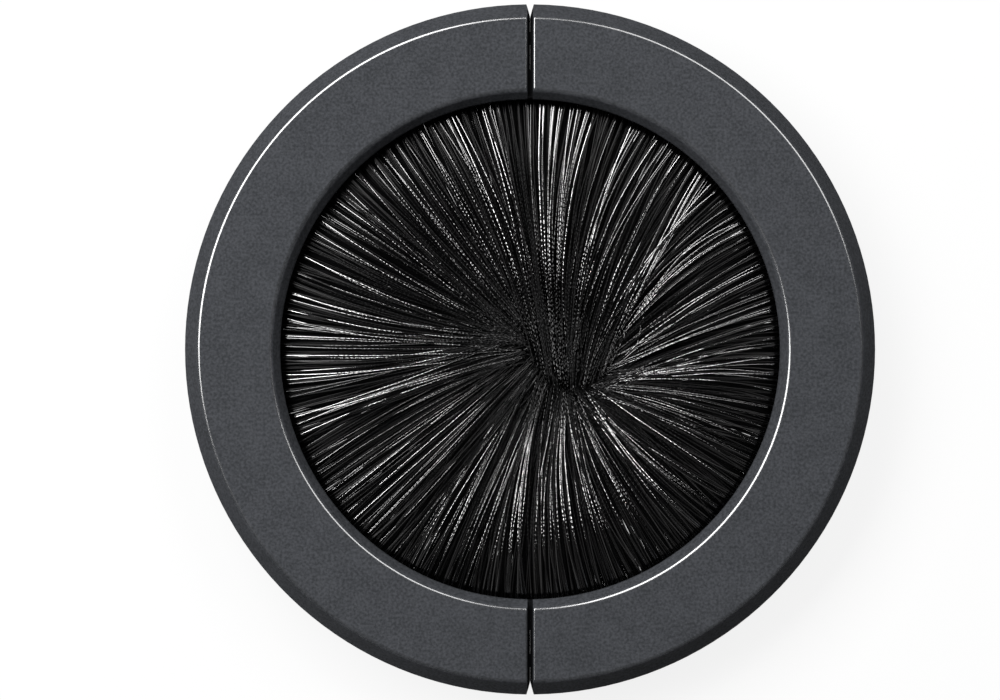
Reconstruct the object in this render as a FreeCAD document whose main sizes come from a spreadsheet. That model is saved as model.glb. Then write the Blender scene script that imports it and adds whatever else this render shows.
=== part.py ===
import FreeCAD, Part
import os

import Sketcher

# Round brush cable grommet. Two identical half rings of moulded plastic close round a cut-out in
# a panel, and each carries half of a channel brush whose bristles reach in to the centre.
# Height 0 is the seat under the flange, +Z points out of the face, and the split runs along Y.
# Each sub-part is drawn as the right-hand half; the left-hand one is the same, turned by 180 degrees.

# Driving dimensions: name, millimetres (or a count), what it is
SIZES = (
    ("opening_diameter", 101.2, "clear opening inside the lip"),
    ("flange_overhang", 13.0, "flange past the collar"),
    ("flange_height", 6.0, "seat to face"),
    ("outer_bevel_width", 2.9, "slope outside the face, seen from the front"),
    ("outer_bevel_height", 4.4, "slope outside the face, seen from the side"),
    ("inner_bevel_width", 1.5, "slope inside the face, seen from the front"),
    ("inner_bevel_height", 2.6, "slope inside the face, seen from the side"),
    ("crease_radius", 1.1, "rounding of the edges of both slopes"),
    ("flange_wall", 2.4, "plastic over the hollow of the flange"),
    ("skirt_wall", 2.6, "rim that seats on the panel"),
    ("seat_ring_width", 1.6, "seat beside the collar"),
    ("split_gap", 0.04, "gap between the two halves"),
    ("split_groove_width", 1.1, "groove between the two faces"),
    ("split_groove_depth", 2.0, "face to where the halves meet"),
    ("split_edge_radius", 0.45, "rounding of the groove's edges"),
    ("rim_notch_width", 1.5, "notch where the split leaves the rim"),
    ("end_block_length", 8.0, "solid flange at each end of a half"),
    ("flange_rib_count", 7, "webs across the hollow of one half"),
    ("flange_rib_thickness", 1.6, "one web"),
    ("flange_rib_recess", 0.5, "web short of the seat"),
    ("flange_rib_sink", 0.1, "web inside the walls that it joins"),
    ("peg_diameter", 2.6, "locating peg at the split"),
    ("peg_length", 4.0, "peg inside the other half"),
    ("peg_chamfer", 0.5, "tip of the peg"),
    ("peg_height", 2.1, "peg's axis above the seat"),
    ("socket_clearance", 0.15, "round the peg"),
    ("socket_extra_depth", 0.5, "beyond the peg's tip"),
    ("groove_back_wall", 1.7, "collar behind the brush groove"),
    ("collar_depth", 14.0, "seat to the collar's end"),
    ("collar_wall", 2.0, "wall of the collar"),
    ("collar_lead_in", 1.0, "chamfer at the collar's end"),
    ("crush_rib_count", 8, "gripping ribs on one half of the collar"),
    ("crush_rib_height", 0.22, "rib proud of the collar"),
    ("crush_rib_diameter", 2.0, "roundness of a rib"),
    ("crush_rib_margin", 3.0, "collar left bare at both ends of a rib"),
    ("lip_thickness", 1.1, "edge of the lip over the brush"),
    ("lip_cover", 0.2, "lip past the mouth of the brush channel"),
    ("ledge_thickness", 2.0, "ledge under the brush"),
    ("groove_clearance", 0.1, "round the brush channel"),
    ("channel_width", 4.8, "folded channel, along the axis"),
    ("channel_depth", 4.4, "folded channel, mouth to back"),
    ("channel_sheet", 0.5, "sheet of the channel"),
    ("channel_bend", 0.8, "outside radius of the folds"),
    ("channel_crimp", 0.25, "lean of each side towards the mouth"),
    ("channel_setback", 0.1, "end of the strip behind the split face"),
    ("core_wire_diameter", 1.2, "wire that the bristles fold round"),
    ("bristle_fold", 0.9, "bristles between the wire and the channel"),
    ("pack_clearance", 0.05, "between the bristles and the channel"),
    ("neck_length", 0.1, "bristles in one mass past the channel's mouth"),
    ("tuft_count", 50, "tufts in one layer of one half"),
    ("tuft_root_gap", 0.9, "between tufts where they leave the mass"),
    ("tuft_tip_gap", 0.05, "between tufts at the centre"),
    ("tuft_tip_thickness", 0.5, "tuft at the centre, along the axis"),
    ("tuft_sink", 0.3, "root of a tuft inside the mass"),
    ("layer_gap", 0.1, "between the layers at the roots"),
    ("layer_spread", 1.5, "between the layers' middles at the tips"),
    ("brush_eye_diameter", 6.0, "eye left between the tips"),
)

# Places worked out from the driving dimensions
OPENING_R = "(sizes.opening_diameter / 2)"
MOUTH_R = f"({OPENING_R} + sizes.lip_cover)"
CHANNEL_BACK_R = f"({MOUTH_R} + sizes.channel_depth)"
GROOVE_BACK_R = f"({CHANNEL_BACK_R} + sizes.groove_clearance)"
COLLAR_R = f"({GROOVE_BACK_R} + sizes.groove_back_wall)"
FLANGE_R = f"({COLLAR_R} + sizes.flange_overhang)"
HOLLOW_IN_R = f"({COLLAR_R} + sizes.seat_ring_width)"
HOLLOW_OUT_R = f"({FLANGE_R} - sizes.skirt_wall)"
HOLLOW_MID_R = f"(({HOLLOW_IN_R} + {HOLLOW_OUT_R}) / 2)"
HOLLOW_TOP_Z = "(sizes.flange_height - sizes.flange_wall)"
LIP_TOP_Z = "(sizes.flange_height - sizes.inner_bevel_height)"
GROOVE_TOP_Z = f"({LIP_TOP_Z} - sizes.lip_thickness)"
CHANNEL_TOP_Z = f"({GROOVE_TOP_Z} - sizes.groove_clearance)"
CHANNEL_MID_Z = f"({CHANNEL_TOP_Z} - sizes.channel_width / 2)"
CHANNEL_BOTTOM_Z = f"({CHANNEL_TOP_Z} - sizes.channel_width)"
GROOVE_BOTTOM_Z = f"({CHANNEL_BOTTOM_Z} - sizes.groove_clearance)"
LEDGE_BOTTOM_Z = f"({GROOVE_BOTTOM_Z} - sizes.ledge_thickness)"
PACK_BACK_R = f"({CHANNEL_BACK_R} - sizes.channel_sheet - sizes.pack_clearance)"
WIRE_R = f"({CHANNEL_BACK_R} - sizes.channel_sheet - sizes.bristle_fold - sizes.core_wire_diameter / 2)"
NECK_R = f"({MOUTH_R} - sizes.neck_length)"
PACK_BACK_HALF = "(sizes.channel_width / 2 - sizes.channel_sheet - sizes.pack_clearance)"
PACK_MOUTH_HALF = f"({PACK_BACK_HALF} - sizes.channel_crimp)"
EYE_R = "(sizes.brush_eye_diameter / 2)"
TUFT_STEP = "(180 deg / sizes.tuft_count)"
SPLIT_X = "(sizes.split_gap / 2)"
STRIP_ANGLE = f"180 deg - 2 * asin(({SPLIT_X} + sizes.channel_setback) / {MOUTH_R})"

# How near two places are to count as one, and the radius that a corner has before it gets its own
NEAR = 1e-4
ROUGH_RADIUS = 0.1

# How a constraint tells the points of a line or a circle apart
START_POINT, END_POINT, CENTRE_POINT = 1, 2, 3

doc = FreeCAD.newDocument("brush_cable_grommet")
sheet = doc.addObject("Spreadsheet::Sheet", "sizes")
for row, (alias, value, meaning) in enumerate(SIZES, start=1):
    sheet.set(f"A{row}", meaning)
    sheet.set(f"B{row}", str(value))
    sheet.setAlias(f"B{row}", alias)
doc.recompute()


def origin_feature(body, role):
    """One of the body's own planes or axes."""
    return next(item for item in body.Origin.OriginFeatures if item.Role == role)


def new_body(label, turn):
    """An empty sub-part, turned about the grommet's axis by some degrees."""
    body = doc.addObject("PartDesign::Body", label)
    body.Label = label
    body.Placement = FreeCAD.Placement(FreeCAD.Vector(), FreeCAD.Rotation(FreeCAD.Vector(0, 0, 1), turn))
    return body


def new_sketch(body, name, role, shift="0", turn="0"):
    """A sketch on a plane of the body, moved along the plane's normal and turned about it."""
    sketch = body.newObject("Sketcher::SketchObject", name)
    sketch.AttachmentSupport = [(origin_feature(body, role), "")]
    sketch.MapMode = "FlatFace"
    sketch.setExpression("AttachmentOffset.Base.z", shift)
    sketch.setExpression("AttachmentOffset.Rotation.Angle", turn)
    return sketch


def place_point(sketch, geometry, point, name, across, up):
    """Ties a point of the sketch to its two named distances from the sketch's origin."""
    for kind, suffix, distance in (("DistanceX", "x", across), ("DistanceY", "y", up)):
        number = sketch.addConstraint(Sketcher.Constraint(kind, -1, 1, geometry, point, 1.0))
        sketch.renameConstraint(number, f"{name}_{suffix}")
        sketch.setExpression(f"Constraints.{name}_{suffix}", distance)


def draw_outline(sketch, corners, rounds=()):
    """A closed outline through named corners (name, across, up); some are rounded (name, radius)."""
    runs = {}
    for index, (name, across, up) in enumerate(corners):
        first = FreeCAD.Vector(index, 0, 0)
        second = FreeCAD.Vector(index + 1, 1, 0)
        runs[name] = sketch.addGeometry(Part.LineSegment(first, second), False)
    for index, (name, across, up) in enumerate(corners):
        before = runs[corners[index - 1][0]]
        sketch.addConstraint(Sketcher.Constraint("Coincident", before, END_POINT, runs[name], START_POINT))
        place_point(sketch, runs[name], START_POINT, name, across, up)
    doc.recompute()
    for name, radius in rounds:
        arc = sketch.GeometryCount
        sketch.fillet(runs[name], START_POINT, ROUGH_RADIUS, True, True)
        number = sketch.addConstraint(Sketcher.Constraint("Radius", arc, ROUGH_RADIUS))
        sketch.renameConstraint(number, f"{name}_radius")
        sketch.setExpression(f"Constraints.{name}_radius", radius)


def draw_block(sketch, left, right, bottom, top):
    """A rectangle between two distances across and two up."""
    draw_outline(sketch, (
        ("lower_left", left, bottom),
        ("lower_right", right, bottom),
        ("upper_right", right, top),
        ("upper_left", left, top),
    ))


def draw_circle(sketch, name, across, up, diameter):
    """A circle whose centre and diameter are named distances."""
    axis = FreeCAD.Vector(0, 0, 1)
    circle = sketch.addGeometry(Part.Circle(FreeCAD.Vector(1, 1, 0), axis, 1.0), False)
    place_point(sketch, circle, CENTRE_POINT, name, across, up)
    number = sketch.addConstraint(Sketcher.Constraint("Diameter", circle, 2.0))
    sketch.renameConstraint(number, f"{name}_diameter")
    sketch.setExpression(f"Constraints.{name}_diameter", diameter)


def turn_profile(body, kind, name, sketch, angle="180"):
    """Revolves a section about the grommet's axis, equally to both sides of the sketch."""
    feature = body.newObject(kind, name)
    feature.Profile = sketch
    feature.ReferenceAxis = (sketch, ["V_Axis"])
    feature.Midplane = True
    feature.setExpression("Angle", angle)
    return feature


def repeat_round(body, name, features, count, angle):
    """Repeats features evenly about the grommet's axis over an angle."""
    pattern = body.newObject("PartDesign::PolarPattern", name)
    pattern.Originals = features
    pattern.Axis = (origin_feature(body, "Z_Axis"), [""])
    pattern.setExpression("Angle", angle)
    pattern.setExpression("Occurrences", count)
    body.Tip = pattern
    return pattern


def cut_split_face(body):
    """Cuts both ends of a half ring back to a plane half the split gap from its middle."""
    sketch = new_sketch(body, "split_section", "XY_Plane")
    draw_block(sketch, f"-{SPLIT_X}", SPLIT_X, f"-{FLANGE_R} - {SPLIT_X}", f"{FLANGE_R} + {SPLIT_X}")
    pocket = body.newObject("PartDesign::Pocket", "split_face")
    pocket.Profile = sketch
    pocket.Type = "ThroughAll"
    pocket.Midplane = True


def cut_split_groove(body):
    """Cuts the face back along the split, with a rounded edge, so that a groove shows between the halves."""
    sketch = new_sketch(body, "split_groove_section", "XZ_Plane")
    wall = "(sizes.split_groove_width / 2)"
    beside = f"({wall} + 2 * sizes.split_edge_radius)"
    floor = "sizes.flange_height - sizes.split_groove_depth"
    draw_outline(sketch, (
        ("floor_middle", "0", floor),
        ("floor_wall", wall, floor),
        ("face_edge", wall, "sizes.flange_height"),
        ("face_beside", beside, "sizes.flange_height"),
        ("above_beside", beside, "2 * sizes.flange_height"),
        ("above_middle", "0", "2 * sizes.flange_height"),
    ), (
        ("face_edge", "sizes.split_edge_radius"),
    ))
    groove = body.newObject("PartDesign::Pocket", "split_groove")
    groove.Profile = sketch
    groove.Type = "ThroughAll"
    groove.Midplane = True


def cut_rim_notches(body):
    """Cuts back the corners where the split leaves the rim, so that the halves part in a V there."""
    sketch = new_sketch(body, "rim_notch_section", "XY_Plane")
    half = "(sizes.rim_notch_width / 2)"
    tip = f"({FLANGE_R} - sizes.outer_bevel_width)"
    outside = f"({FLANGE_R} + {half})"
    for end, sign in (("top", ""), ("bottom", "-")):
        draw_outline(sketch, (
            (f"{end}_tip", "0", f"{sign}{tip}"),
            (f"{end}_rim", half, f"{sign}{FLANGE_R}"),
            (f"{end}_beyond", half, f"{sign}{outside}"),
            (f"{end}_middle", "0", f"{sign}{outside}"),
        ))
    notches = body.newObject("PartDesign::Pocket", "rim_notches")
    notches.Profile = sketch
    notches.Type = "ThroughAll"
    notches.Midplane = True


def add_peg(body):
    """Locating peg that stands out of the split at one end of the half."""
    sketch = new_sketch(body, "peg_section", "YZ_Plane", SPLIT_X)
    draw_circle(sketch, "peg", HOLLOW_MID_R, "sizes.peg_height", "sizes.peg_diameter")
    peg = body.newObject("PartDesign::Pad", "peg")
    peg.Profile = sketch
    peg.Reversed = True
    peg.setExpression("Length", "sizes.split_gap + sizes.peg_length")
    doc.recompute()
    tip_x = -sheet.get("split_gap") / 2 - sheet.get("peg_length")
    tip = [f"Edge{number}" for number, edge in enumerate(peg.Shape.Edges, start=1)
           if abs(edge.BoundBox.XMax - tip_x) < NEAR]
    chamfer = body.newObject("PartDesign::Chamfer", "peg_tip")
    chamfer.Base = (chamfer.BaseFeature, tip)
    chamfer.setExpression("Size", "sizes.peg_chamfer")


def add_socket(body):
    """Hole for the other half's peg, at the other end of the half."""
    sketch = new_sketch(body, "socket_section", "YZ_Plane", SPLIT_X)
    socket_diameter = "sizes.peg_diameter + 2 * sizes.socket_clearance"
    draw_circle(sketch, "socket", f"-{HOLLOW_MID_R}", "sizes.peg_height", socket_diameter)
    socket = body.newObject("PartDesign::Pocket", "socket")
    socket.Profile = sketch
    socket.Reversed = True
    socket.setExpression("Length", "sizes.peg_length + sizes.socket_extra_depth")


def add_flange_ribs(body):
    """Webs across the hollow under the flange, a little short of the seat."""
    step = "(180 deg / sizes.flange_rib_count)"
    first = f"-90 deg + {step} / 2"
    sketch = new_sketch(body, "flange_rib_section", "XY_Plane", "sizes.flange_rib_recess", first)
    half_web = "(sizes.flange_rib_thickness / 2)"
    near = f"{HOLLOW_IN_R} - sizes.flange_rib_sink"
    far = f"{HOLLOW_OUT_R} + sizes.flange_rib_sink"
    draw_block(sketch, near, far, f"-{half_web}", half_web)
    rib = body.newObject("PartDesign::Pad", "flange_rib")
    rib.Profile = sketch
    rib.setExpression("Length", f"{HOLLOW_TOP_Z} - sizes.flange_rib_recess + sizes.flange_rib_sink")
    repeat_round(body, "flange_ribs", [rib], "sizes.flange_rib_count", f"180 deg - {step}")


def add_crush_ribs(body):
    """Fine upright ribs on the collar that grip the edge of the cut-out."""
    step = "(180 deg / sizes.crush_rib_count)"
    first = f"-90 deg + {step} / 2"
    sketch = new_sketch(body, "crush_rib_section", "XY_Plane", "-sizes.crush_rib_margin", first)
    middle = f"{COLLAR_R} + sizes.crush_rib_height - sizes.crush_rib_diameter / 2"
    draw_circle(sketch, "crush_rib", middle, "0", "sizes.crush_rib_diameter")
    rib = body.newObject("PartDesign::Pad", "crush_rib")
    rib.Profile = sketch
    rib.Reversed = True
    rib.setExpression("Length", "sizes.collar_depth - sizes.collar_lead_in - 2 * sizes.crush_rib_margin")
    repeat_round(body, "crush_ribs", [rib], "sizes.crush_rib_count", f"180 deg - {step}")


def make_frame_half(label, turn):
    """Moulded half ring: sloped flange, lip, brush groove and collar in one piece."""
    body = new_body(label, turn)
    section = new_sketch(body, "frame_section", "XZ_Plane")
    draw_outline(section, (
        ("seat_outside", FLANGE_R, "0"),
        ("skirt_top", FLANGE_R, "sizes.flange_height - sizes.outer_bevel_height"),
        ("face_outside", f"{FLANGE_R} - sizes.outer_bevel_width", "sizes.flange_height"),
        ("face_inside", f"{OPENING_R} + sizes.inner_bevel_width", "sizes.flange_height"),
        ("lip_top", OPENING_R, LIP_TOP_Z),
        ("lip_bottom", OPENING_R, GROOVE_TOP_Z),
        ("groove_top", GROOVE_BACK_R, GROOVE_TOP_Z),
        ("groove_bottom", GROOVE_BACK_R, GROOVE_BOTTOM_Z),
        ("ledge_top", OPENING_R, GROOVE_BOTTOM_Z),
        ("ledge_bottom", OPENING_R, LEDGE_BOTTOM_Z),
        ("collar_root", f"{COLLAR_R} - sizes.collar_wall", LEDGE_BOTTOM_Z),
        ("collar_end_inside", f"{COLLAR_R} - sizes.collar_wall", "-sizes.collar_depth"),
        ("lead_in_end", f"{COLLAR_R} - sizes.collar_lead_in", "-sizes.collar_depth"),
        ("lead_in_start", COLLAR_R, "sizes.collar_lead_in - sizes.collar_depth"),
        ("seat_inside", COLLAR_R, "0"),
    ), (
        ("skirt_top", "sizes.crease_radius"),
        ("face_outside", "sizes.crease_radius"),
        ("face_inside", "sizes.crease_radius"),
        ("lip_top", "sizes.crease_radius"),
    ))
    turn_profile(body, "PartDesign::Revolution", "half_ring", section)

    hollow_section = new_sketch(body, "hollow_section", "XZ_Plane")
    draw_block(hollow_section, HOLLOW_IN_R, HOLLOW_OUT_R, f"-{HOLLOW_TOP_Z}", HOLLOW_TOP_Z)
    hollow_angle = f"180 deg - 2 * atan(sizes.end_block_length / {HOLLOW_MID_R})"
    turn_profile(body, "PartDesign::Groove", "flange_hollow", hollow_section, hollow_angle)
    cut_split_face(body)
    cut_split_groove(body)
    cut_rim_notches(body)

    add_peg(body)
    add_socket(body)
    add_flange_ribs(body)
    add_crush_ribs(body)
    return body


def make_brush_channel(label, turn):
    """Sheet folded into a channel and rolled into a half ring, its mouth towards the centre."""
    body = new_body(label, turn)
    section = new_sketch(body, "channel_section", "XZ_Plane")
    mouth_top = f"{CHANNEL_TOP_Z} - sizes.channel_crimp"
    mouth_bottom = f"{CHANNEL_BOTTOM_Z} + sizes.channel_crimp"
    back_inside = f"{CHANNEL_BACK_R} - sizes.channel_sheet"
    draw_outline(section, (
        ("mouth_top_outside", MOUTH_R, mouth_top),
        ("back_top_outside", CHANNEL_BACK_R, CHANNEL_TOP_Z),
        ("back_bottom_outside", CHANNEL_BACK_R, CHANNEL_BOTTOM_Z),
        ("mouth_bottom_outside", MOUTH_R, mouth_bottom),
        ("mouth_bottom_inside", MOUTH_R, f"{mouth_bottom} + sizes.channel_sheet"),
        ("back_bottom_inside", back_inside, f"{CHANNEL_BOTTOM_Z} + sizes.channel_sheet"),
        ("back_top_inside", back_inside, f"{CHANNEL_TOP_Z} - sizes.channel_sheet"),
        ("mouth_top_inside", MOUTH_R, f"{mouth_top} - sizes.channel_sheet"),
    ), (
        ("back_top_outside", "sizes.channel_bend"),
        ("back_bottom_outside", "sizes.channel_bend"),
    ))
    turn_profile(body, "PartDesign::Revolution", "folded_channel", section, STRIP_ANGLE)
    return body


def make_core_wire(label, turn):
    """Wire in the channel that every bristle is folded round."""
    body = new_body(label, turn)
    section = new_sketch(body, "wire_section", "XZ_Plane")
    draw_circle(section, "wire", WIRE_R, CHANNEL_MID_Z, "sizes.core_wire_diameter")
    turn_profile(body, "PartDesign::Revolution", "wire", section, STRIP_ANGLE)
    return body


def add_tuft(body, name, level, first_step):
    """One tuft of a layer: a taper from the bristle mass to the eye, some steps from the split."""
    layer_thickness = f"((2 * {PACK_MOUTH_HALF} - 2 * sizes.layer_gap) / 3)"
    root_z = f"({CHANNEL_MID_Z} + {level} * ({layer_thickness} + sizes.layer_gap))"
    tip_z = f"({CHANNEL_MID_Z} + {level} * sizes.layer_spread)"
    half_root = f"(({NECK_R} * {TUFT_STEP} * pi / 180 deg - sizes.tuft_root_gap) / 2)"
    half_tip = f"(({EYE_R} * {TUFT_STEP} * pi / 180 deg - sizes.tuft_tip_gap) / 2)"
    tuft = body.newObject("PartDesign::AdditiveWedge", name)
    tuft.AttachmentSupport = [(origin_feature(body, "XY_Plane"), "")]
    tuft.MapMode = "FlatFace"
    tuft.Refine = False
    places = {
        "AttachmentOffset.Rotation.Angle": f"-180 deg + {first_step} * {TUFT_STEP}",
        "Ymin": EYE_R,
        "Xmin": f"-{half_tip}",
        "Xmax": half_tip,
        "Zmin": f"{tip_z} - sizes.tuft_tip_thickness / 2",
        "Zmax": f"{tip_z} + sizes.tuft_tip_thickness / 2",
        "Ymax": f"{NECK_R} + sizes.tuft_sink",
        "X2min": f"-{half_root}",
        "X2max": half_root,
        "Z2min": f"{root_z} - {layer_thickness} / 2",
        "Z2max": f"{root_z} + {layer_thickness} / 2",
    }
    for size, place in places.items():
        tuft.setExpression(size, place)
    return tuft


def make_bristles(label, turn):
    """Nylon bristles: one mass folded round the core wire, then three layers of tufts to the centre."""
    body = new_body(label, turn)
    section = new_sketch(body, "bristle_section", "XZ_Plane")
    draw_outline(section, (
        ("neck_top", NECK_R, f"{CHANNEL_MID_Z} + {PACK_MOUTH_HALF}"),
        ("mouth_top", MOUTH_R, f"{CHANNEL_MID_Z} + {PACK_MOUTH_HALF}"),
        ("fold_top", PACK_BACK_R, f"{CHANNEL_MID_Z} + {PACK_BACK_HALF}"),
        ("fold_bottom", PACK_BACK_R, f"{CHANNEL_MID_Z} - {PACK_BACK_HALF}"),
        ("mouth_bottom", MOUTH_R, f"{CHANNEL_MID_Z} - {PACK_MOUTH_HALF}"),
        ("neck_bottom", NECK_R, f"{CHANNEL_MID_Z} - {PACK_MOUTH_HALF}"),
    ))
    wire_half = "sizes.core_wire_diameter / 2"
    draw_block(section, f"{WIRE_R} - {wire_half}", f"{WIRE_R} + {wire_half}",
               f"{CHANNEL_MID_Z} - {wire_half}", f"{CHANNEL_MID_Z} + {wire_half}")
    turn_profile(body, "PartDesign::Revolution", "bristle_mass", section, STRIP_ANGLE)

    # The middle layer fills the gaps of the other two: its tufts are shifted along the ring.
    outer_layer_step = 0.35
    middle_layer_step = 1 - outer_layer_step
    tufts = [
        add_tuft(body, "upper_tuft", 1, outer_layer_step),
        add_tuft(body, "middle_tuft", 0, middle_layer_step),
        add_tuft(body, "lower_tuft", -1, outer_layer_step),
    ]
    pattern = repeat_round(body, "tufts", tufts, "sizes.tuft_count", f"180 deg - {TUFT_STEP}")
    pattern.Refine = False
    return body


SIDES = (("right", 0), ("left", 180))
MAKERS = (
    ("frame_half", make_frame_half),
    ("brush_channel", make_brush_channel),
    ("core_wire", make_core_wire),
    ("bristles", make_bristles),
)
sub_parts = [make(f"{name}_{side}", turn) for name, make in MAKERS for side, turn in SIDES]
doc.recompute()

failed = [item.Name for item in doc.Objects if "Invalid" in item.State or "Error" in item.State]
failed += [body.Label for body in sub_parts if body.Shape.isNull() or not body.Shape.isValid()]
if failed:
    raise RuntimeError(f"not built: {failed}")

os.makedirs("parts", exist_ok=True)
for body in sub_parts:
    body.Shape.exportStep(f"parts/{body.Label}.step")
    print(f"{body.Label}: {len(body.Shape.Solids)} solid, {body.Shape.Volume:.1f} cubic mm")
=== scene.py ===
# %% [markdown]
# A round brush cable grommet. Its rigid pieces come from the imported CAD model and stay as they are;
# this script gives them their finishes and replaces the solid bristles by real filaments.
# The first cell loads the model. Its box is kept, because nothing added later may leave it.

# %% Load the CAD frame
import math

import bpy
import numpy as np
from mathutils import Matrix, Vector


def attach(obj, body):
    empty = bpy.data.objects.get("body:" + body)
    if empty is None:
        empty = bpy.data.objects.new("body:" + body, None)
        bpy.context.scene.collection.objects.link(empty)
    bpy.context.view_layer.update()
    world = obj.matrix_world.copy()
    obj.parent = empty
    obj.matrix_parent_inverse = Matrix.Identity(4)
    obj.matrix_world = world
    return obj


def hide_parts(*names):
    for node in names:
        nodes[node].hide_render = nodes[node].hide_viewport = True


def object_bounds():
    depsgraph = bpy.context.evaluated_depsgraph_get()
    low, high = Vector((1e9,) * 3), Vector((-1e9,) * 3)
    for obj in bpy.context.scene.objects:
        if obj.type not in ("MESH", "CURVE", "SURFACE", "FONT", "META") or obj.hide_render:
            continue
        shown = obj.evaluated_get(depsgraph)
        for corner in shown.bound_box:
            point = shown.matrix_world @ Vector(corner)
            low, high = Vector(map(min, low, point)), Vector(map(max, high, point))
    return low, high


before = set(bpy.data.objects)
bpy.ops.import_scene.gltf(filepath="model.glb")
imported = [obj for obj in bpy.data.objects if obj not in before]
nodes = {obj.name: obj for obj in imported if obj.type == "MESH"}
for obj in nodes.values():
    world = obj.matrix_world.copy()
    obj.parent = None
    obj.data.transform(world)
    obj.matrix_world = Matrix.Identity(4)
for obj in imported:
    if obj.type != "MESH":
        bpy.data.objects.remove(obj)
cad_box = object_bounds()
MM = 0.001
print("CAD nodes:", sorted(nodes))

# %% [markdown]
# The picture is taken straight from the front: the face of the ring is a true circle in it.
# A long lens at three quarters of a metre keeps it so. The lens follows from how many pixels the
# rim takes up, and the camera stands a little to the left, because the ring is right of the middle.

# %% Camera
IMAGE_WIDTH = 1000
RIM_RADIUS = 70.0 * MM
RIM_RADIUS_PIXELS = 344.5
RING_OFFSET_PIXELS = (30.0, 0.6)
CAMERA_DISTANCE = 0.75

scene = bpy.context.scene
pixels_per_metre = RIM_RADIUS_PIXELS / RIM_RADIUS
camera = bpy.data.objects.new("camera", bpy.data.cameras.new("camera"))
camera.data.lens = camera.data.sensor_width * CAMERA_DISTANCE * pixels_per_metre / IMAGE_WIDTH
camera.location = (
    -RING_OFFSET_PIXELS[0] / pixels_per_metre,
    -RING_OFFSET_PIXELS[1] / pixels_per_metre,
    CAMERA_DISTANCE,
)
scene.collection.objects.link(camera)
scene.camera = camera
scene.view_settings.view_transform = "Standard"
print(f"lens {camera.data.lens:.1f} mm, {pixels_per_metre * MM:.2f} pixels per millimetre")

# %% [markdown]
# Two large soft boxes stand above the top edge of the picture, the larger share of light at the
# left. The rounded edges of the ring mirror them as thin bright lines: the longer the box, the
# further the line runs round the ring. A bristle mirrors them on the stretch that leans the right
# way: the wider the box, the longer that stretch.

# %% Lights
SOFT_BOXES = (
    # name, azimuth and tilt from the vertical in degrees, distance, length and width in metres,
    # watts
    ("left_soft_box", 141.0, 37.0, 1.0, 1.00, 0.50, 10.6),
    ("right_soft_box", 50.0, 37.0, 1.0, 0.65, 0.36, 2.5),
)

for name, azimuth, tilt, distance, length, width, watts in SOFT_BOXES:
    lamp = bpy.data.objects.new(name, bpy.data.lights.new(name, "AREA"))
    lamp.data.shape = "RECTANGLE"
    lamp.data.size = length
    lamp.data.size_y = width
    lamp.data.energy = watts
    turn, lean = math.radians(azimuth), math.radians(tilt)
    lamp.location = (
        distance * math.sin(lean) * math.cos(turn),
        distance * math.sin(lean) * math.sin(turn),
        distance * math.cos(lean),
    )
    # Tilted away from the vertical and then turned, so that the long side runs round the axis
    lamp.rotation_euler = (lean, 0.0, turn + math.pi / 2)
    scene.collection.objects.link(lamp)
    print(f"{name}: {watts} W at {distance} m")

# %% [markdown]
# A finish is a tree of nodes. Written out one by one, the nodes and their links hide the idea, so
# a few helpers add a node together with what flows into it: a number, a colour or another node's
# output. They work on the tree that was started last. The first tree is the world's. It is a weak
# even fill, so slopes that face away from the soft boxes stay dark.

# %% Helpers for node trees, and the world
WORLD_FILL = 0.02


def node_tree(owner):
    """A function that adds nodes to the emptied tree of a material or a world."""
    owner.use_nodes = True
    tree = owner.node_tree
    tree.nodes.clear()

    def add(kind, inputs=None, **settings):
        node = tree.nodes.new(kind)
        for key, value in settings.items():
            setattr(node, key, value)
        for key, value in (inputs or {}).items():
            if isinstance(value, bpy.types.NodeSocket):
                tree.links.new(value, node.inputs[key])
            else:
                node.inputs[key].default_value = value
        return node

    return add


def maths(operation, *terms):
    """One step of arithmetic on outputs and numbers."""
    return add("ShaderNodeMath", dict(enumerate(terms)), operation=operation).outputs[0]


scene.world = bpy.data.worlds.new("studio")
add = node_tree(scene.world)
fill = add("ShaderNodeBackground", {"Color": (1, 1, 1, 1), "Strength": WORLD_FILL})
add("ShaderNodeOutputWorld", {"Surface": fill.outputs[0]})
print("world fill", WORLD_FILL)

# %% [markdown]
# The floor is a plain pale sheet under the collar. Seen directly it is white paper that lights
# itself for the larger share and takes the soft shadow of the ring for the rest; for bounced light
# it is a dark grey, so that it doesn't brighten the outer slope of the ring from below.

# %% Floor
FLOOR_RADIUS = 40.0
FLOOR_SIDES = 48
PAPER_GLOW = 0.86
PAPER_WHITE = (0.16, 0.16, 0.16, 1)
PAPER_BOUNCE = (0.06, 0.06, 0.06, 1)

floor_z = cad_box[0].z
floor_points = []
for step in range(FLOOR_SIDES):
    turn = 2 * math.pi * step / FLOOR_SIDES
    floor_points.append((FLOOR_RADIUS * math.cos(turn), FLOOR_RADIUS * math.sin(turn), floor_z))
floor_mesh = bpy.data.meshes.new("floor")
floor_mesh.from_pydata(floor_points, [], [tuple(range(FLOOR_SIDES))])
floor = bpy.data.objects.new("floor", floor_mesh)
scene.collection.objects.link(floor)

paper = bpy.data.materials.new("white_paper")
add = node_tree(paper)
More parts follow.
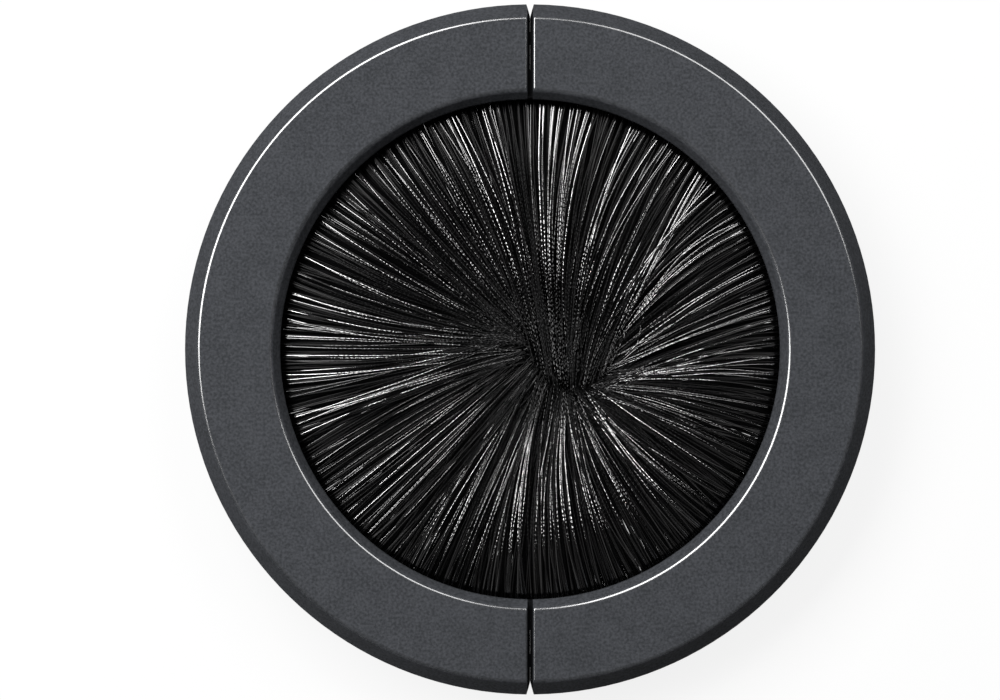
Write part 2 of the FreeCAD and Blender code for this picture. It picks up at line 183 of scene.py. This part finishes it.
# Rays that come from the camera, from a mirror-like surface or through a clear one
path = add("ShaderNodeLightPath").outputs
seen_directly = maths("MAXIMUM", maths("MAXIMUM", path["Is Camera Ray"], path["Is Glossy Ray"]),
                      path["Is Transmission Ray"])
glow = add("ShaderNodeEmission", {"Strength": PAPER_GLOW})
sheet = add("ShaderNodeBsdfDiffuse", {"Color": PAPER_WHITE})
lit_sheet = add("ShaderNodeAddShader", {0: glow.outputs[0], 1: sheet.outputs[0]})
bounce = add("ShaderNodeBsdfDiffuse", {"Color": PAPER_BOUNCE})
pick = add("ShaderNodeMixShader", {0: seen_directly, 1: bounce.outputs[0], 2: lit_sheet.outputs[0]})
add("ShaderNodeOutputMaterial", {"Surface": pick.outputs[0]})
floor_mesh.materials.append(paper)
print(f"floor at {floor_z / MM:.1f} mm")

# %% [markdown]
# The half rings are dark grey moulded plastic. Close up, the face isn't smooth: the mould was
# eroded to a fine grain, which breaks the light into a soft mottle of half a millimetre.
# Noise in three dimensions makes it, because it needs no unwrapping and has no seams. A coarse
# noise tints the plastic a little and a fine one gives the mottle and the bump.

# %% Grain of the frame plastic
PLASTIC_DARK = (0.047, 0.050, 0.055, 1)
PLASTIC_LIGHT = (0.087, 0.091, 0.101, 1)
PLASTIC_ROUGHNESS = (0.5, 0.68)
GRAIN_SIZE = 0.55 * MM
GRAIN_DEPTH = 0.03 * MM
CLOUD_SIZE = 9 * GRAIN_SIZE
CLOUD_SHARE = 0.25
# Noise keeps near its middle; this part of it is stretched over the whole range of the tint
NOISE_SPREAD = (0.37, 0.63)


def between(measure, start, end, first=0.0, last=1.0, **settings):
    """The first value up to the start of a stretch, the last value from its end on."""
    stretch = {"Value": measure, "From Min": start, "From Max": end,
               "To Min": first, "To Max": last}
    return add("ShaderNodeMapRange", stretch, **settings).outputs[0]


def blend_of(first, second, factor):
    """A colour between two others."""
    colours = {"Factor": factor, "A": first, "B": second}
    return add("ShaderNodeMix", colours, data_type="RGBA").outputs["Result"]


plastic = bpy.data.materials.new("frame_plastic_finish")
add = node_tree(plastic)
place = add("ShaderNodeTexCoord").outputs["Object"]
grain = add("ShaderNodeTexNoise", {
    "Vector": place, "Scale": 1 / GRAIN_SIZE, "Detail": 2.0, "Roughness": 0.55}).outputs["Fac"]
cloud = add("ShaderNodeTexNoise", {
    "Vector": place, "Scale": 1 / CLOUD_SIZE, "Detail": 4.0, "Roughness": 0.65}).outputs["Fac"]
mottle = maths("MULTIPLY_ADD", grain, 1 - CLOUD_SHARE, maths("MULTIPLY", cloud, CLOUD_SHARE))
plastic_colour = blend_of(PLASTIC_DARK, PLASTIC_LIGHT, between(mottle, *NOISE_SPREAD))
grain_bump = add("ShaderNodeBump", {"Strength": 0.7, "Distance": GRAIN_DEPTH, "Height": grain})
print("plastic with a grain of", GRAIN_SIZE / MM, "mm")

# %% [markdown]
# Handling has burnished the rounded edges of the face and of the split, so a clear gloss lies on
# them. It mirrors a soft box as one clean line only where its slope changes evenly. The triangles
# of so small a rounding are too uneven for that, so the slope is worked out from the distance to
# the axis and to the split, and made into a normal for the gloss.

# %% Slopes of the rounded edges
# Where the rounded edges leave the face and where they end: radii of the outer and the inner one,
# distances from the split of those beside it; then the sine of the slope at their ends
OUTER_EDGE = (66.51 * MM, 67.42 * MM)
INNER_EDGE = (52.74 * MM, 51.83 * MM)
SPLIT_EDGE = (1.0 * MM, 0.55 * MM)
RING_SLOPE, SPLIT_SLOPE = 0.83, 0.95


def vectors(operation, *terms):
    """One step of vector arithmetic; its outputs are a vector and a number."""
    return add("ShaderNodeVectorMath", dict(enumerate(terms)), operation=operation).outputs


def scaled(vector, factor):
    """A vector or a colour times a number."""
    step = add("ShaderNodeVectorMath", {0: vector, "Scale": factor}, operation="SCALE")
    return step.outputs["Vector"]


across_and_depth = add("ShaderNodeSeparateXYZ", {0: place}).outputs
flat_place = vectors("MULTIPLY", place, (1, 1, 0))["Vector"]
from_axis = vectors("LENGTH", flat_place)["Value"]
from_split = maths("ABSOLUTE", across_and_depth["X"])
side_of_split = maths("SIGN", across_and_depth["X"])

outward_slope = between(from_axis, *OUTER_EDGE, last=RING_SLOPE)
inward_slope = between(from_axis, *INNER_EDGE, last=RING_SLOPE)
split_slope = between(from_split, *SPLIT_EDGE, last=-SPLIT_SLOPE)
ring_lean = scaled(vectors("NORMALIZE", flat_place)["Vector"],
                   maths("SUBTRACT", outward_slope, inward_slope))
split_lean = add("ShaderNodeCombineXYZ", {"X": maths("MULTIPLY", side_of_split, split_slope)})
edge_lean = vectors("ADD", ring_lean, split_lean.outputs[0])["Vector"]
steepness = vectors("DOT_PRODUCT", edge_lean, edge_lean)["Value"]
upright = add("ShaderNodeCombineXYZ", {"Z": maths("SQRT", maths("SUBTRACT", 1.0, steepness))})
edge_normal = vectors("ADD", edge_lean, upright.outputs[0])["Vector"]
print("rounded edges at", [round(value / MM, 2) for value in OUTER_EDGE + INNER_EDGE], "mm")

# %% [markdown]
# The gloss is a coat that shows only where an edge is rounded, and only on the face. It ends before
# the steep part, which would mirror the floor. Hardly any light gets down into the groove of the
# split, and the plastic is darkened there.

# %% Gloss of the edges, and the groove
BURNISH_IOR = 3.0
BURNISH_ROUGHNESS = 0.2
# Squares of the slope's sine between which the gloss begins and ends
GLOSS_BEGINS = (0.0, 0.004)
GLOSS_ENDS = (0.40, 0.30)
FACE_DEPTH = (4.8 * MM, 5.0 * MM)
GROOVE_SIDE = (0.5 * MM, 0.62 * MM)
GROOVE_SHADE = 0.12

rounded = maths("MULTIPLY", between(steepness, *GLOSS_BEGINS), between(steepness, *GLOSS_ENDS))
on_face = between(across_and_depth["Z"], *FACE_DEPTH)
shader = add("ShaderNodeBsdfPrincipled", {
    "Base Color": scaled(plastic_colour, between(from_split, *GROOVE_SIDE, first=GROOVE_SHADE)),
    "Roughness": between(grain, 0.0, 1.0, *PLASTIC_ROUGHNESS),
    "Normal": grain_bump.outputs[0],
    "Specular IOR Level": 0.03,
    "Coat Weight": maths("MULTIPLY", rounded, on_face),
    "Coat Roughness": BURNISH_ROUGHNESS,
    "Coat IOR": BURNISH_IOR,
    "Coat Normal": edge_normal,
})
add("ShaderNodeOutputMaterial", {"Surface": shader.outputs[0]})
for name in ("frame_half_left", "frame_half_right"):
    nodes[name].data.materials[0] = plastic
print("plastic on both half rings")

# %% [markdown]
# The brush strip is folded from galvanised sheet, and the bristles are looped round a drawn wire.
# Zinc cools in flat crystals, so a cell pattern changes the tint and the gloss from patch to patch.
# The wire carries fine lines from the die; a noise that is squeezed along the height stands for
# them.

# %% Steel of the channels and the wires
ZINC_DARK = (0.40, 0.41, 0.42, 1)
ZINC_LIGHT = (0.58, 0.59, 0.60, 1)
ZINC_ROUGHNESS = (0.3, 0.5)
SPANGLE_SIZE = 1.6 * MM
WIRE_GREY = (0.5, 0.5, 0.5, 1)
WIRE_ROUGHNESS = (0.18, 0.45)
WIRE_LINES = (400.0, 400.0, 9000.0)
WIRE_LINE_DEPTH = 0.01 * MM

zinc = bpy.data.materials.new("channel_steel_finish")
add = node_tree(zinc)
place = add("ShaderNodeTexCoord").outputs["Object"]
spangle = add("ShaderNodeTexVoronoi", {"Vector": place, "Scale": 1 / SPANGLE_SIZE}).outputs["Color"]
shader = add("ShaderNodeBsdfPrincipled", {
    "Base Color": blend_of(ZINC_DARK, ZINC_LIGHT, spangle),
    "Roughness": between(spangle, 0.0, 1.0, *ZINC_ROUGHNESS),
    "Metallic": 1.0,
})
add("ShaderNodeOutputMaterial", {"Surface": shader.outputs[0]})

wire_steel = bpy.data.materials.new("wire_steel_finish")
add = node_tree(wire_steel)
place = add("ShaderNodeTexCoord").outputs["Object"]
squeezed = vectors("MULTIPLY", place, WIRE_LINES)["Vector"]
die_lines = add("ShaderNodeTexNoise", {
    "Vector": squeezed, "Scale": 1.0, "Detail": 2.0}).outputs["Fac"]
bump = add("ShaderNodeBump", {"Strength": 0.3, "Distance": WIRE_LINE_DEPTH, "Height": die_lines})
shader = add("ShaderNodeBsdfPrincipled", {
    "Base Color": WIRE_GREY,
    "Roughness": between(die_lines, 0.0, 1.0, *WIRE_ROUGHNESS),
    "Metallic": 1.0,
    "Normal": bump.outputs[0],
})
add("ShaderNodeOutputMaterial", {"Surface": shader.outputs[0]})
for side in ("left", "right"):
    nodes[f"brush_channel_{side}"].data.materials[0] = zinc
    nodes[f"core_wire_{side}"].data.materials[0] = wire_steel
print("zinc on the channels, drawn steel on the wires")

# %% [markdown]
# The bristles are glossy black nylon, crimped so that they hold together. The crimp is far too
# fine to model on thousands of filaments, but it is what makes them glitter: each tiny wave
# mirrors the light once. So the length along each filament is kept in its texture coordinates,
# and a sine wave over that length bends the normal. Near the strip the filaments are pulled
# straight; the wave grows along the way. A second coordinate is a number that differs from
# filament to filament, so that a noise over both shifts the wave in each.

# %% Crimp of the bristle nylon
CRIMP_PITCH = 0.95
CRIMP_DEPTH = 0.095 * MM
CRIMP_AT_ROOT = 0.15
CRIMP_SHIFT = 14.0
# Lengths from the strip, in millimetres, between which the crimp grows
CRIMP_GROWS = (7.0, 20.0)
# Sets neighbouring filaments far apart in the noise
NUMBER_STRETCH = (1.0, 900.0, 1.0)

nylon = bpy.data.materials.new("bristle_nylon_finish")
add = node_tree(nylon)
coordinates = add("ShaderNodeUVMap", uv_map="filament").outputs[0]
length_and_number = add("ShaderNodeSeparateXYZ", {0: coordinates}).outputs
wander = add("ShaderNodeTexNoise", {
    "Vector": vectors("MULTIPLY", coordinates, NUMBER_STRETCH)["Vector"],
    "Scale": 0.35, "Detail": 2.0}, noise_dimensions="2D").outputs["Fac"]


def along_filament(reach, start, end):
    """A value that changes smoothly between two lengths along the filament."""
    return between(length_and_number["X"], *reach, start, end, interpolation_type="SMOOTHSTEP")


turns = maths("MULTIPLY", length_and_number["X"], 2 * math.pi / CRIMP_PITCH)
wave = maths("SINE", maths("MULTIPLY_ADD", wander, CRIMP_SHIFT, turns))
crimp = maths("MULTIPLY", wave, along_filament(CRIMP_GROWS, CRIMP_AT_ROOT, 1.0))
crimp_bump = add("ShaderNodeBump", {"Strength": 1.0, "Distance": CRIMP_DEPTH / 2, "Height": crimp})
print("nylon with a crimp every", CRIMP_PITCH, "mm")

# %% [markdown]
# A few filaments shine and most stay black. Those with a high number are the polished ones, and
# their shine follows the third power of it. It is given by the colour of a mirror, which an
# exported model keeps, and not by a varying specular level, which it loses. The others are painted
# a dull grey where they are straight, a painted sheen that fades where the crimp grows. The ends
# are painted dark: painted shade of the lip over the roots, and painted shade where the tips gather
# in the middle, which takes away their shine. The number is lowered in painted shade too: in the
# layer under the front and in the fan at the upper left.

# %% Shine of the bristle nylon
NYLON_DARK = (0.004, 0.004, 0.0043, 1)
NYLON_LIGHT = (0.11, 0.108, 0.108, 1)
NYLON_MIRROR = (0.92, 0.91, 0.91, 1)
NYLON_ROUGHNESS = (0.14, 0.26)
WANDER_SPREAD = (0.3, 0.7)
POLISHED_FROM = 0.5
# Lengths from the strip, in millimetres, between which each of them changes, and what is left:
# painted shade at the roots and at the tips, and painted sheen of the grey, which fades in the crimp
ROOT_PAINTED_SHADE = (1.9, 2.4)
TIP_PAINTED_SHADE = (30.0, 41.0)
PAINTED_SHEEN_IN_CRIMP = 0.3
SHINE_AT_TIP = 0.12

number = length_and_number["Y"]
# Painted shade: both colours are dark over the first two millimetres, under the lip
outside_painted_root_shade = along_filament(ROOT_PAINTED_SHADE, 0.0, 1.0)
# Painted sheen: a filament's grey is lighter where it is straight and fades where the crimp grows
grey_tone_and_painted_sheen = maths("MULTIPLY", number, along_filament(CRIMP_GROWS, 1.0, PAINTED_SHEEN_IN_CRIMP))
# Painted shade: the mirror colour fades towards the tips, where they gather in the middle
shine = maths("MULTIPLY", maths("POWER", number, 3.0), along_filament(TIP_PAINTED_SHADE, 1.0, SHINE_AT_TIP))
dull_colour = blend_of(NYLON_DARK, NYLON_LIGHT, maths("MULTIPLY", grey_tone_and_painted_sheen, outside_painted_root_shade))
polished_colour = blend_of(NYLON_DARK, NYLON_MIRROR, maths("MULTIPLY", shine, outside_painted_root_shade))
polished = maths("GREATER_THAN", number, POLISHED_FROM)
shader = add("ShaderNodeBsdfPrincipled", {
    "Base Color": blend_of(dull_colour, polished_colour, polished),
    "Metallic": polished,
    "Roughness": between(wander, *WANDER_SPREAD, *NYLON_ROUGHNESS),
    "Specular IOR Level": 0.12,
    "Normal": crimp_bump.outputs[0],
})
add("ShaderNodeOutputMaterial", {"Surface": shader.outputs[0]})
print("polished filaments from the number", POLISHED_FROM)

# %% [markdown]
# Inside the brush the filaments are the same nylon, but no light gets there to make them shine.
# They get a darker copy of it, a plain dull black with a little change in its gloss: painted shade.

# %% Nylon inside the brush, in painted shade
PAINTED_SHADE_BLACK = (0.004, 0.004, 0.0045, 1)
INSIDE_ROUGHNESS = (0.55, 0.8)

inside = bpy.data.materials.new("bristle_nylon_painted_shade")
add = node_tree(inside)
coordinates = add("ShaderNodeUVMap", uv_map="filament").outputs[0]
fibre = add("ShaderNodeTexNoise", {"Vector": coordinates, "Scale": 2.0, "Detail": 2.0},
            noise_dimensions="2D").outputs["Fac"]
shader = add("ShaderNodeBsdfPrincipled", {
    "Base Color": PAINTED_SHADE_BLACK,
    "Roughness": between(fibre, 0.0, 1.0, *INSIDE_ROUGHNESS),
    "Specular IOR Level": 0.12,
})
add("ShaderNodeOutputMaterial", {"Surface": shader.outputs[0]})
print("dull nylon for the inside")

# %% [markdown]
# Where the bristles meet they don't run to one point. Those from the top lie over the rest and end
# below the middle; those from the sides lean towards the right. The table gives, for angles
# round the ring, where the tips gather, how far along the filaments bulge most and how much of
# their shine is left. Where they bulge early, the rest of their length turns away from the light and
# stays dark, as in the fan at the upper left; there the shine is also cut down, as painted shade.
# Values between rows are interpolated.

# %% Where the tips gather
TIP_PLACES = np.array((
    # angle in degrees, place across and up and height over the brush's middle in millimetres,
    # share of the length where the filaments are highest, and the share of shine left by painted
    # shade
    (-90.0, 4.5, -4.8, -0.4, 0.40, 1.0),
    (-60.0, 7.5, -6.2, -0.2, 0.40, 1.0),
    (-30.0, 10.5, -7.2, 0.0, 0.42, 1.0),
    (0.0, 12.0, -7.0, 0.2, 0.44, 1.0),
    (34.0, 12.5, -5.0, 0.4, 0.44, 1.0),
    (46.0, 10.5, -9.0, 1.2, 0.46, 1.0),
    (70.0, 7.8, -8.0, 1.7, 0.46, 1.0),
    (90.0, 6.2, -7.8, 2.0, 0.42, 1.0),
    (108.0, 4.8, -6.8, 1.6, 0.34, 0.92),
    (118.0, 1.5, 1.0, 0.3, 0.24, 0.8),
    (142.0, 0.7, 1.8, 0.2, 0.27, 0.8),
    (156.0, 0.3, 2.0, 0.2, 0.36, 0.92),
    (180.0, -0.5, 1.8, 0.1, 0.40, 1.0),
    (210.0, 0.0, 0.0, -0.1, 0.42, 1.0),
    (240.0, 1.5, -3.5, -0.3, 0.42, 1.0),
    (270.0, 4.5, -4.8, -0.4, 0.40, 1.0),
))


def tip_place(angle):
    """The table's columns after the first, for angles in radians."""
    degrees = (np.degrees(angle) + 90.0) % 360.0 - 90.0
    return [np.interp(degrees, TIP_PLACES[:, 0], column) for column in TIP_PLACES[:, 1:].T]


print(len(TIP_PLACES), "places where tips gather")

# %% [markdown]
# The line of a filament is a curve with one bend: it leaves the strip square to the lip, bulges
# towards the viewer and then leans down to where the tips gather. Filaments of a tuft draw
# together along the way, and each tuft bows to its own side, which opens the dark gaps between
# tufts. All lines of a layer are worked out at once as arrays, which is far quicker than one curve
# object for each filament. This cell has the measures, in millimetres, and three helpers.

# %% Measures of the filaments
BRUSH_MIDDLE_Z = -0.2
ROOT_RADIUS = 51.6
# The strips of the two halves overlap by a hair, which closes the view through the split
STRIP_END = -0.15
# Shares of a tuft's pitch: how far it is off its place, and how much narrower it is than its place
TUFT_JITTER = 0.2
TUFT_NARROWING = 0.3
# Changes from tuft to tuft: knots of the slow ones round a half, their size, size of sudden ones
TUFT_BOW = (22, 0.8, 0.25)
TUFT_LIFT = (30, 0.3, 0.25)
TUFT_SHIFT = (26, 0.9)
# Changes from filament to filament
TIP_SCATTER = 0.9
BOW_SCATTER = 0.4
LIFT_SCATTER = 0.15
CREST_SCATTER = 0.03
# Shape and scale of the draw that says how much too short a filament is
SHORTFALL = (1.3, 1.6)
# A slow swing to and fro: its size, and how far in radians it goes on along the filament
SWING = 0.12
SWING_REACH = (8, 20)
# How much a tuft draws together
GATHERING = 0.4
# Where the curve bends and where it has come down again, as shares of the length
BEND = (0.42, 0.52)
FOOT = 0.85
# No filament may bulge out past the face of the ring
HIGHEST_RISE = 3.7
# How far the tips of a packed layer run past each other
PAST_MIDDLE = 5.0
# Share of a root's height that is lost at the tip
HEIGHT_LOSS = 0.6
random = np.random.default_rng(20)


def smooth_step(value):
    """From 0 to 1 without a kink at either end."""
    value = np.clip(value, 0.0, 1.0)
    return value * value * (3 - 2 * value)


def wavy(count, knots, size):
    """Random values that change slowly from one tuft to the next."""
    places = np.linspace(0, knots - 1, count)
    return np.interp(places, np.arange(knots), random.normal(0.0, size, knots))


def tuft_change(count, knots, slow, sudden):
    """Slow and sudden changes from one tuft to the next."""
    return wavy(count, knots, slow) + random.normal(0.0, sudden, count)


print(f"roots {ROOT_RADIUS} mm from the axis")

# %% [markdown]
# A layer's lines are made in three steps: values for each tuft, the line of each filament seen
# from the front, and its height. A loose layer gets all the scatter; a packed one hardly any.

# %% Lines of a layer


def layer_lines(side, tufts, per_tuft, points, heights, lift, tip_height, looseness):
    """Points along a layer's filaments in millimetres (filament, point, xyz), and the share of shine
    that painted shade leaves them.
    """
    end_angle = math.asin(STRIP_END / ROOT_RADIUS)
    reach = math.pi - 2 * end_angle
    first = -math.pi / 2 + end_angle if side == "right" else math.pi / 2 + end_angle
    pitch = reach / tufts
    jitter = random.uniform(-TUFT_JITTER, TUFT_JITTER, tufts)
    tuft_angle = first + (np.arange(tufts) + 0.5 + jitter) * pitch
    tuft_bow = looseness * tuft_change(tufts, *TUFT_BOW)
    tuft_lift = looseness * tuft_change(tufts, *TUFT_LIFT)
    tuft_shift = [looseness * wavy(tufts, *TUFT_SHIFT) for _ in ("across", "up")]
    tuft = np.repeat(np.arange(tufts), per_tuft)
    count = tufts * per_tuft

    spread = random.uniform(-0.5, 0.5, count) * pitch * (1 - TUFT_NARROWING * looseness)
    angle = np.clip(tuft_angle[tuft] + spread, first, first + reach)
    outward = np.stack([np.cos(angle), np.sin(angle)], axis=1)
    root = outward * ROOT_RADIUS
    across, up, height, crest, shine_after_painted_shade = tip_place(tuft_angle[tuft])
    tip = np.stack([across + tuft_shift[0][tuft], up + tuft_shift[1][tuft]], axis=1)
    tip = tip + random.normal(0.0, TIP_SCATTER, (count, 2))
    short = looseness * random.gamma(*SHORTFALL, count) - (1 - looseness) * PAST_MIDDLE
    run = tip - root
    length = np.linalg.norm(run, axis=1, keepdims=True)
    tip = root + run * (1 - short[:, None] / length)
    bend = root - outward * length * random.uniform(*BEND, (count, 1))

    s = np.linspace(0.0, 1.0, points)[None, :, None]
    line = (1 - s) ** 2 * root[:, None] + 2 * s * (1 - s) * bend[:, None] + s ** 2 * tip[:, None]
    sideways = np.stack([-outward[:, 1], outward[:, 0]], axis=1)[:, None]
    bow = (tuft_bow[tuft] + random.normal(0.0, BOW_SCATTER * looseness, count))[:, None, None]
    gather = (-GATHERING * looseness * spread * ROOT_RADIUS)[:, None, None]
    swing_start = random.uniform(0.0, 2 * math.pi, count)[:, None, None]
    swing_reach = random.uniform(*SWING_REACH, count)[:, None, None]
    shape = np.sin(np.pi * s) * bow + np.sin(np.pi * np.sqrt(s)) * gather
    shape = shape + SWING * looseness * np.sin(swing_start + s * swing_reach) * s
    line = line + sideways * shape

    root_z = random.uniform(*heights, count)[:, None]
    share = s[:, :, 0]
    rise = lift + tuft_lift[tuft] + random.normal(0.0, LIFT_SCATTER * looseness, count)
    rise = np.minimum(rise, HIGHEST_RISE)[:, None]
    crest = (crest + random.normal(0.0, CREST_SCATTER * looseness, count))[:, None]
    climb = np.clip(share / crest, 0.0, 1.0)
    descent = 1 - smooth_step((share - crest) / (FOOT - crest))
    hump = climb * (1.5 - 0.5 * climb ** 2) * descent
    settle = smooth_step(share) * (tip_height(height)[:, None] - HEIGHT_LOSS * root_z)
    z = BRUSH_MIDDLE_Z + root_z + rise * hump + settle
    return np.concatenate([line, z[:, :, None]], axis=2), shine_after_painted_shade


print("lines bend between", BEND, "of their length and are down again at", FOOT)

# %% [markdown]
# A filament is a thin tube along its line: five sides where it is seen and three inside the brush
# are enough at a quarter of a millimetre. The corners of all tubes are worked out as arrays and
# handed to one mesh at once, with the length and the number that the finish needs as its UV.

# %% Tubes along the lines
TIP_THICKNESS = 0.45


def filament_mesh(name, lines, radius, sides, shine_after_painted_shade, material):
    """One mesh of closed tubes along lines, with length and a number per tube as UV."""
    count, points, _ = lines.shape
    along = np.gradient(lines, axis=1)
    along /= np.linalg.norm(along, axis=2, keepdims=True)
    sideways = np.cross(along, (0.0, 0.0, 1.0))
    sideways /= np.linalg.norm(sideways, axis=2, keepdims=True)
    upward = np.cross(sideways, along)
    turn = random.uniform(0, 2 * math.pi, count)[:, None, None]
    thick = np.full(points, radius)
    thick[-1] = radius * TIP_THICKNESS
    rings = []
    for corner in range(sides):
        theta = turn + corner * 2 * math.pi / sides
        offset = np.cos(theta) * sideways + np.sin(theta) * upward
        rings.append(lines + offset * thick[None, :, None])
    vertices = np.stack(rings, axis=2).reshape(-1, 3) * MM

    base = (np.arange(count)[:, None] * points + np.arange(points - 1)[None, :]) * sides
    quads = []
    for corner in range(sides):
        following = (corner + 1) % sides
        quads.append(np.stack([base + corner, base + following,
                               base + sides + following, base + sides + corner], axis=2))
    quads = np.stack(quads, axis=2).reshape(-1, 4)
    start = np.arange(count)[:, None] * points * sides
    ring = np.arange(sides)[None, :]
    caps = np.concatenate([start + ring[:, ::-1], start + (points - 1) * sides + ring])

    corners = np.concatenate([quads.ravel(), caps.ravel()]).astype(np.int32)
    quad_starts = np.arange(len(quads)) * 4
    cap_starts = len(quads) * 4 + np.arange(len(caps)) * sides
    starts = np.concatenate([quad_starts, cap_starts])
    mesh = bpy.data.meshes.new(name)
    mesh.vertices.add(len(vertices))
    mesh.vertices.foreach_set("co", vertices.astype(np.float32).ravel())
    mesh.loops.add(len(corners))
    mesh.loops.foreach_set("vertex_index", corners)
    mesh.polygons.add(len(starts))
    mesh.polygons.foreach_set("loop_start", starts.astype(np.int32))
    mesh.polygons.foreach_set("use_smooth", np.ones(len(starts), dtype=bool))
    steps = np.linalg.norm(np.diff(lines, axis=1), axis=2)
    travelled = np.concatenate([np.zeros((count, 1)), np.cumsum(steps, axis=1)], axis=1)
    # The share from the table and the layer's highest number lower the number: painted shade
    number = np.repeat((random.uniform(0.0, 1.0, count) * shine_after_painted_shade)[:, None], points, axis=1)
    places = np.repeat(np.stack([travelled, number], axis=2).reshape(-1, 2), sides, axis=0)
    uv = mesh.uv_layers.new(name="filament")
    uv.data.foreach_set("uv", places[corners].astype(np.float32).ravel())
    mesh.update(calc_edges=True)
    mesh.validate()
    mesh.materials.append(material)
    return mesh


print("tubes taper at the tip to", TIP_THICKNESS, "of their thickness")

# %% [markdown]
# The brush is built in four layers per half, as it is packed. The front and the layer under it
# are seen from the face and get filaments with many points; the back is seen from behind. The
# layer under the front gets lower numbers, so it is darker and none of it polished: painted shade.
# The middle only has to close the view through, so it is packed dense and kept plain, in the
# painted shade black.

# %% Bristles
LAYERS = (
    # name, tufts, filaments in a tuft, points, radius and sides of a filament, root heights, lift,
    # share and offset of the tip height, looseness, highest number (lower for painted shade), finish
    ("front", 84, 3, 50, 0.125, 5, (0.6, 1.35), 3.3, 1.0, 0.5, 1.0, 1.0, nylon),
    ("under", 100, 3, 32, 0.12, 5, (-0.1, 0.6), 2.6, 1.0, 0.1, 1.0, 0.35, nylon),
    ("middle", 700, 3, 9, 0.14, 3, (-1.1, -0.1), 0.6, 0.0, -0.9, 0.1, 1.0, inside),
    ("back", 120, 3, 20, 0.14, 5, (-1.7, -1.0), -1.0, 0.1, -1.5, 1.0, 1.0, nylon),
)

for side in ("left", "right"):
    for (layer, tufts, per_tuft, points, radius, sides, heights, lift,
         share, offset, looseness, highest, finish) in LAYERS:
        lines, shine_after_painted_shade = layer_lines(side, tufts, per_tuft, points, heights, lift,
                                    lambda height: share * height + offset, looseness)
        name = f"bristles_{side}_{layer}"
        mesh = filament_mesh(name, lines, radius, sides, highest * shine_after_painted_shade, finish)
        piece = bpy.data.objects.new(name, mesh)
        scene.collection.objects.link(piece)
        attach(piece, "root")
        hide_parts(f"bristles_{side}")
        triangles = sum(len(face.vertices) - 2 for face in mesh.polygons)
        print(f"{name}: {len(lines)} filaments, {triangles} triangles,",
              f"z {lines[:, :, 2].min():.2f} to {lines[:, :, 2].max():.2f} mm")

# %% [markdown]
# The CAD model's box is printed, in millimetres.

# %% Sizes
print("CAD box", [[round(value / MM, 2) for value in corner] for corner in cad_box])
